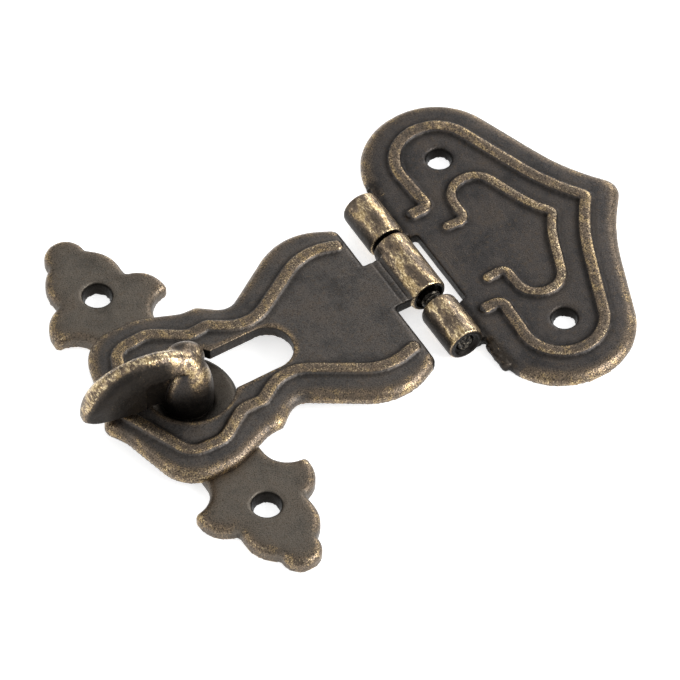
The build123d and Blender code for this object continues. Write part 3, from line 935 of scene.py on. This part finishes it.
def patina_coats(n, patina_colour, worn):
    """The dark finish with its patches, rubbed specks, pits and hollows, and painted shade."""
    patina = n.mix(n.ramp(n.patches, 0.4, 0.7, 0.0, 0.35), patina_colour, BROWN)
    patina = n.mix(n.ramp(n.patches, 0.55, 0.30, 0.0, 0.4), patina, CREVICE_AND_SHADE)
    patina = n.mix(n.ramp(n.grain, 0.54, 0.70, 0.0, 0.5), patina, BROWN)
    patina = n.mix(n.ramp(n.speckle, 0.62, 0.72, 0.0, 0.7), patina, RUBBED)
    patina = n.mix(n.ramp(worn, 0.03, 0.6, 0.0, 0.8), patina, RUBBED)
    pits = n.math("MULTIPLY", n.ramp(n.fleck, 0.50, 0.34), n.ramp(worn, 0.0, 0.35, 0.5, 0.75))
    patina = n.mix(pits, patina, CREVICE_AND_SHADE)
    # Painted shade: hollows turn nearly black, partly as patina and partly as shade, and so does every
    # place darkened by the stored painted shade and dirt.
    hollow = n.math("MAXIMUM", n.ramp(n.sharp, -0.02, -0.09, 0.0, 0.85), n.shade_and_dirt)
    hollow = n.math("MAXIMUM", hollow, n.ramp(n.fine, -0.03, -0.16, 0.0, 0.6))
    return n.mix(hollow, patina, CREVICE_AND_SHADE)


def cast_bumps(n):
    """Normal of a rough casting, from its slow unevenness to its fine specks."""
    soft = n.bump(n.noise(UNEVEN_SIZE, detail=2.0), distance=0.06, strength=0.4)
    grainy = n.bump(n.grain, distance=0.07, strength=0.6, under=soft)
    handled_streaks = n.math("MULTIPLY", n.streaks, n.polish)
    drawn = n.bump(handled_streaks, distance=0.18, strength=0.8, under=grainy)
    return n.bump(n.fleck, distance=0.05, strength=0.8, under=drawn)


def aged_bronze(name, patina_colour, wear_heights):
    """Dark patina worn to bronze between two heights of fine relief."""
    n = Bronze(name)
    worn = worn_share(n, *wear_heights)
    over = n.math("SUBTRACT", n.fleck, n.ramp(worn, 0.0, 1.0, 0.76, 0.38))
    bare = n.math("MULTIPLY", n.ramp(over, -0.05, 0.05), n.ramp(worn, 0.02, 0.25))
    glint = n.math("MULTIPLY", n.ramp(over, 0.10, 0.22, 0.0, 0.9), n.ramp(worn, 0.45, 0.9))
    metal = n.mix(n.ramp(n.streaks, 0.40, 0.48), TARNISHED, BRONZE)
    metal = n.mix(n.ramp(n.streaks, 0.50, 0.62), metal, GOLD)
    colour = n.mix(bare, patina_coats(n, patina_colour, worn), metal)
    n.put(n.mix(glint, colour, BRIGHT_BRONZE), n.shader.inputs["Base Color"])
    n.shader.inputs["Metallic"].default_value = 1.0
    uneven = n.ramp(n.grain, 0.3, 0.7, -0.06, 0.07)
    roughness = n.math("ADD", n.ramp(bare, 0.0, 1.0, 0.45, 0.28), uneven)
    n.put(roughness, n.shader.inputs["Roughness"])
    n.put(cast_bumps(n), n.shader.inputs["Normal"])
    return n.material


plate_bronze = aged_bronze("aged bronze", PATINA, PLATE_WEAR)
strap_bronze = aged_bronze("strap bronze", STRAP_PATINA_PAINTED_LIGHTER, PLATE_WEAR)
keeper_bronze = aged_bronze("keeper bronze", KEEPER_PATINA, KEEPER_WEAR)
knob_bronze = aged_bronze("knob bronze", PATINA, KNOB_WEAR)
print("bronzes:", [m.name for m in (plate_bronze, strap_bronze, keeper_bronze, knob_bronze)])

# %% [markdown]
# ## Dark steel
#
# The pin is steel wire, blackened with the rest and scraped grey in spots where it turns in the barrels.
# So little of it shows that one noise can drive its colour, its roughness and its bump together.

# %% Mix the steel
BLACKENED = (0.012, 0.011, 0.010, 1)
SCRAPED = (0.17, 0.15, 0.12, 1)
STEEL_GRAIN_SIZE = 0.35


def pin_steel():
    """Blackened steel with scraped spots."""
    n = Nodes("pin steel")
    grain = n.noise(STEEL_GRAIN_SIZE, detail=4.0)
    scraped = n.ramp(grain, 0.46, 0.72)
    n.put(n.mix(scraped, BLACKENED, SCRAPED), n.shader.inputs["Base Color"])
    n.shader.inputs["Metallic"].default_value = 1.0
    n.put(n.ramp(grain, 0.3, 0.7, 0.42, 0.28), n.shader.inputs["Roughness"])
    n.put(n.bump(grain, distance=0.04, strength=0.7), n.shader.inputs["Normal"])
    return n.material


steel = pin_steel()
print("steel:", steel.name)

# %% [markdown]
# ## Pieces in their places
#
# Each casting gets its material, rides on the body that its solid moves with, and takes that solid's
# place in the picture. The washer is a plain flat ring, so its solid is shown as it is, with the steel on
# it.

# %% Dress the pieces
BODY = {
    "hinge_leaf": "leaf",
    "hasp_strap": "strap",
    "keeper_plate": "strap",
    "turn_knob": "knob",
    "hinge_pin": "leaf",
}
FINISH = {
    "hinge_leaf": (plate_bronze, "aged_bronze"),
    "hasp_strap": (strap_bronze, "aged_bronze"),
    "keeper_plate": (keeper_bronze, "aged_bronze"),
    "turn_knob": (knob_bronze, "knob_bronze"),
    "hinge_pin": (steel, "pin_steel"),
}
for node_name, casting in castings.items():
    material, slot_name = FINISH[node_name]
    casting.data.materials.append(material)
    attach(casting, BODY[node_name])
    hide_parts(node_name)
    print(casting.name, "is", material.name, "and moves with the", BODY[node_name])
washer = nodes["rivet_washer"]
washer.data.materials.clear()
washer.data.materials.append(steel)

# %% [markdown]
# ## Floor
#
# The latch lies on white. The floor is a plain pale plane, a hair under the latch's back so that the two
# don't fight for the same place, and it takes the latch's shadow. For the camera and for mirror-like
# reflections it also glows a little, which makes it as white as the photograph's background without more
# light on the metal.

# %% Lay the floor
FLOOR_WHITE = (0.9, 0.9, 0.9, 1)
FLOOR_GLOW = 0.62
FLOOR_SIZE = 3
FLOOR_Z = -0.05 * MM

bpy.ops.mesh.primitive_plane_add(size=FLOOR_SIZE, location=(0, 0, FLOOR_Z))
floor = bpy.context.object
floor.name = "floor"
paper = Nodes("white paper")
paper.shader.inputs["Base Color"].default_value = FLOOR_WHITE
paper.shader.inputs["Roughness"].default_value = 0.9
paper.shader.inputs["Specular IOR Level"].default_value = 0.0
paper.shader.inputs["Emission Color"].default_value = (1, 1, 1, 1)
rays = paper.add("ShaderNodeLightPath").outputs
seen = paper.math("MAXIMUM", rays["Is Camera Ray"], rays["Is Glossy Ray"])
seen = paper.math("MAXIMUM", seen, rays["Is Transmission Ray"])
paper.put(paper.math("MULTIPLY", seen, FLOOR_GLOW), paper.shader.inputs["Emission Strength"])
floor.data.materials.append(paper.material)
print("floor", FLOOR_SIZE, "m wide at", round(FLOOR_Z / MM, 2), "mm")

# %% [markdown]
# ## Light
#
# The photograph was taken in the even light of a white tent. A world that is a little brighter overhead
# than at the horizon stands for the tent, and three large soft lamps for its lit walls: they give the
# barrels and the beads their soft highlights. A few small lamps would give hard shadows that the
# photograph doesn't have.

# %% Light the tent
TENT_LOW = 0.6
TENT_HIGH = 0.74
TENT_BRIGHT_FROM = 0.8  # height of a unit direction from which the tent is as bright as it gets

world = bpy.data.worlds.new("white tent")
bpy.context.scene.world = world
world.use_nodes = True
world_tree = world.node_tree
background = world_tree.nodes["Background"]
background.inputs["Color"].default_value = (1, 1, 1, 1)
outlook = world_tree.nodes.new("ShaderNodeTexCoord")
split = world_tree.nodes.new("ShaderNodeSeparateXYZ")
level = world_tree.nodes.new("ShaderNodeMapRange")
level.inputs["From Max"].default_value = TENT_BRIGHT_FROM
level.inputs["To Min"].default_value = TENT_LOW
level.inputs["To Max"].default_value = TENT_HIGH
world_tree.links.new(outlook.outputs["Generated"], split.inputs["Vector"])
world_tree.links.new(split.outputs["Z"], level.inputs["Value"])
world_tree.links.new(level.outputs["Result"], background.inputs["Strength"])


def softbox(name, azimuth, elevation, distance, size, watts):
    """Square area lamp that looks at the latch from this bearing and height angle, in degrees."""
    lamp = bpy.data.lights.new(name, "AREA")
    lamp.size = size
    lamp.energy = watts
    holder = bpy.data.objects.new(name, lamp)
    bpy.context.scene.collection.objects.link(holder)
    towards = direction(math.radians(azimuth), math.radians(elevation))
    holder.location = CAMERA_TARGET + distance * towards
    holder.rotation_euler = towards.to_track_quat("Z", "Y").to_euler()


softbox("key", azimuth=42, elevation=28, distance=0.6, size=0.36, watts=3.3)
softbox("side", azimuth=120, elevation=26, distance=0.7, size=0.40, watts=1.5)
softbox("left", azimuth=-110, elevation=35, distance=0.7, size=0.35, watts=0.5)
bpy.context.scene.view_settings.view_transform = "Standard"
print("lamps:", [lamp.name for lamp in bpy.data.lights])
